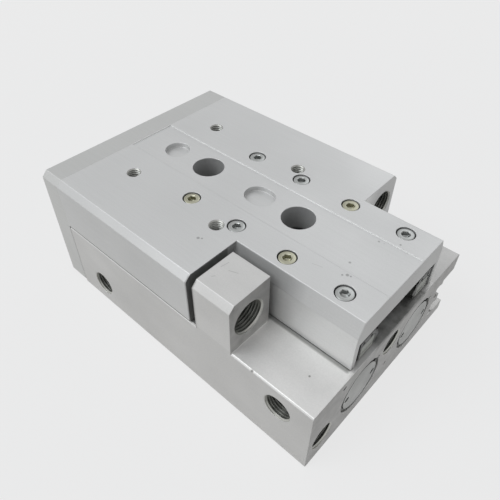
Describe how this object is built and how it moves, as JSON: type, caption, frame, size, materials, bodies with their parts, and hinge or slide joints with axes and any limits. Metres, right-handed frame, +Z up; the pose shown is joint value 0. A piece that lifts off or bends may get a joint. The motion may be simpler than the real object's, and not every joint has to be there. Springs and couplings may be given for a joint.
{
  "type": "pneumatic slide table",
  "caption": "Compact pneumatic slide table: a yoke plate joins twin piston rods to a table on a recirculating ball guide above the housing.",
  "frame": {"origin": "middle of the overall footprint on the base plane", "axes": "+Z up from the base to the table top, +X along the travel from the yoke plate to the rear face, +Y to the sensor channel side"},
  "size_m": [0.1204, 0.083, 0.0486],
  "materials": {
    "anodised_aluminium": "bead-blasted, clear anodised",
    "table_aluminium": "milled, clear anodised",
    "cap_aluminium": "turned, hard anodised",
    "bearing_steel": "hardened and ground",
    "zinc_steel": "zinc plated",
    "spring_steel": "phosphated",
    "chromed_rod": "hard chromed, polished",
    "bronze": "sintered bronze",
    "ball_steel": "polished",
    "frame_plastic": "moulded acetal",
    "nitrile": "moulded",
    "polyurethane": "moulded",
    "ferrite": "plastic-bonded ferrite"
  },
  "bodies": {
    "base": {"housing": "anodised_aluminium", "guide_rail": "bearing_steel", "guide_rail_screws": "zinc_steel", "front_cap_left": "cap_aluminium", "front_cap_right": "cap_aluminium", "rod_bushes": "bronze", "rod_seals": "nitrile", "front_cap_rings": "nitrile", "front_circlips": "spring_steel", "rear_cap_left": "cap_aluminium", "rear_cap_right": "cap_aluminium", "rear_cap_rings": "nitrile", "rear_circlips": "spring_steel", "rear_bumpers": "polyurethane", "stop_block": "bearing_steel", "stop_block_screws": "zinc_steel"},
    "table": {"slide_table": "table_aluminium", "yoke_plate": "table_aluminium", "yoke_screws": "zinc_steel", "piston_rod_left": "chromed_rod", "piston_rod_right": "chromed_rod", "rod_screws": "zinc_steel", "piston_left": "cap_aluminium", "piston_right": "cap_aluminium", "piston_discs": "cap_aluminium", "piston_magnets": "ferrite", "piston_seals": "nitrile", "piston_nuts": "zinc_steel", "cassette_left": "bearing_steel", "cassette_right": "bearing_steel", "ball_frame_left": "frame_plastic", "ball_frame_right": "frame_plastic", "guide_balls": "ball_steel", "cassette_screws": "zinc_steel"}
  },
  "joints": [
    {"name": "table_slide", "type": "slide", "parent": "base", "child": "table", "axis": [-1, 0, 0], "range_m": [0, 0.03]}
  ]
}
